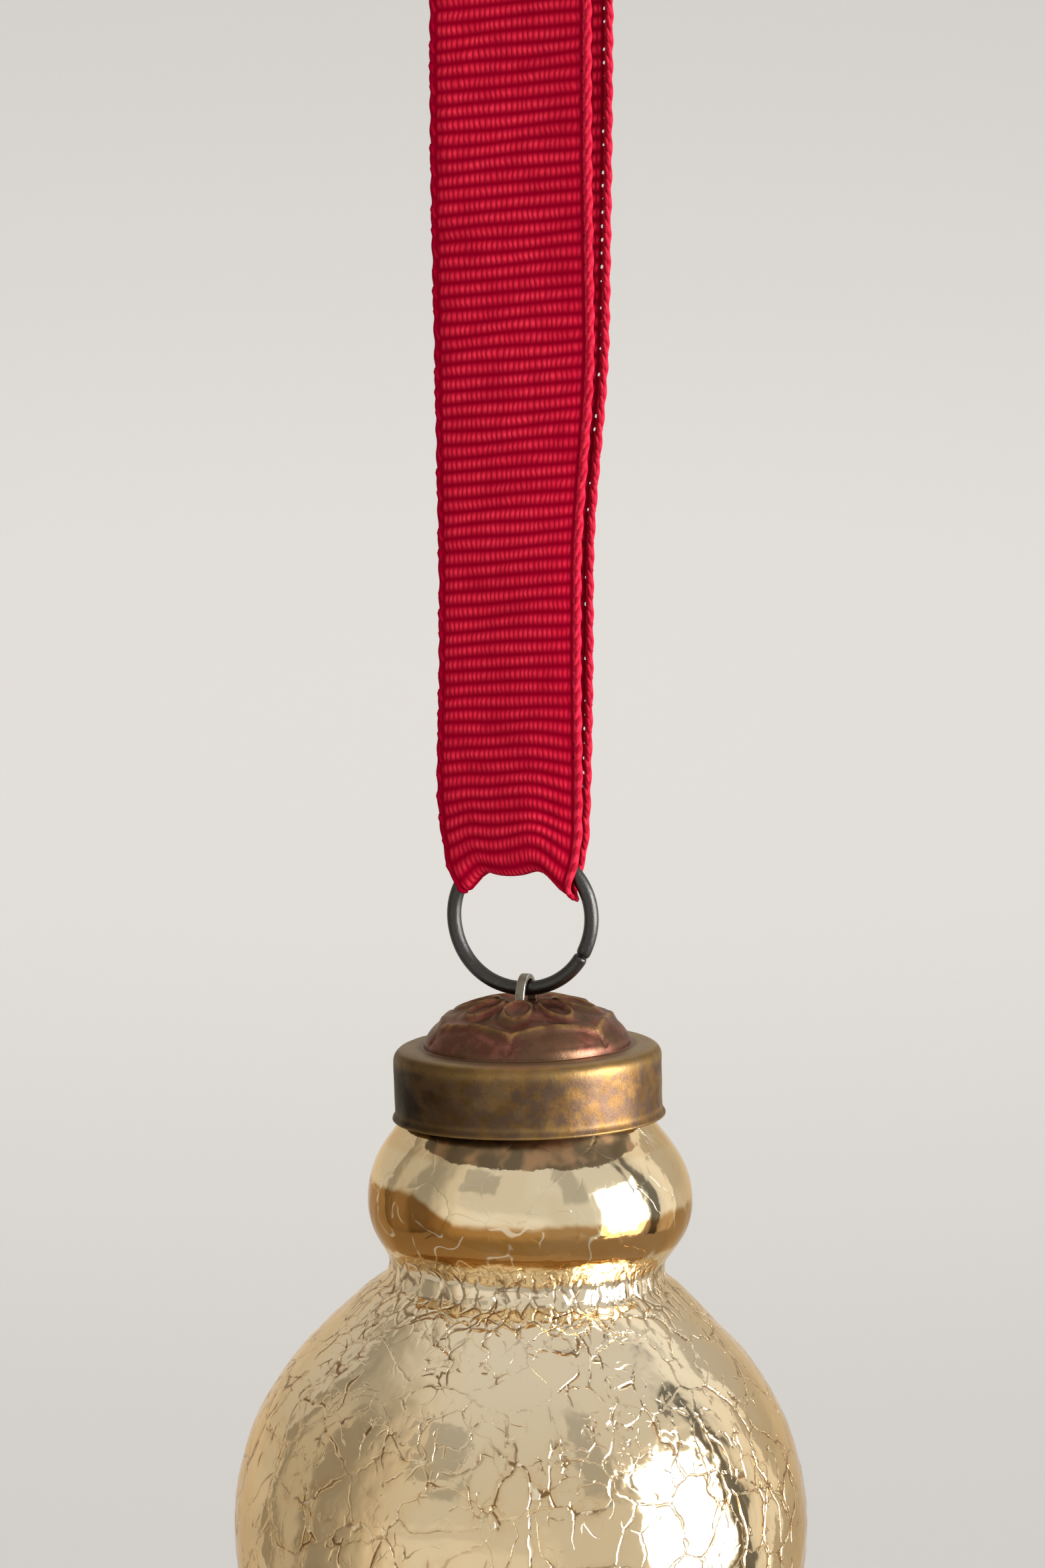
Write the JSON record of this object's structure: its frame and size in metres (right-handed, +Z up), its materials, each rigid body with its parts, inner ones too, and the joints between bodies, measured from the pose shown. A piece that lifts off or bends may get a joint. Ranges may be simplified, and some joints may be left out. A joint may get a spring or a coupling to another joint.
{
  "type": "glass drop ornament",
  "caption": "Crackled, silvered glass drop with a pressed brass cap, hung by a jump ring from a looped grosgrain ribbon.",
  "frame": {"origin": "the hanging point, at the inside of the ribbon loop's top bend", "axes": "+Z up along the hanging ornament; the ribbon and the jump ring face -Y"},
  "size_m": [0.0523, 0.0522, 0.2062],
  "materials": {
    "grosgrain": "ribbed weave, deep red",
    "dark_wire": "dark gunmetal patina, polished highlights",
    "dull_nickel": "dull nickel, worn bright on its edges",
    "aged_brass": "burgundy-brown patina, worn gold on the ridges",
    "silvered_glass": "champagne gold silvering inside crackled blown glass"
  },
  "bodies": {
    "root": {"ribbon": "grosgrain", "jump_ring": "dark_wire", "hanger_eye": "dull_nickel", "brass_cap": "aged_brass", "glass_body": "silvered_glass"}
  },
  "joints": []
}
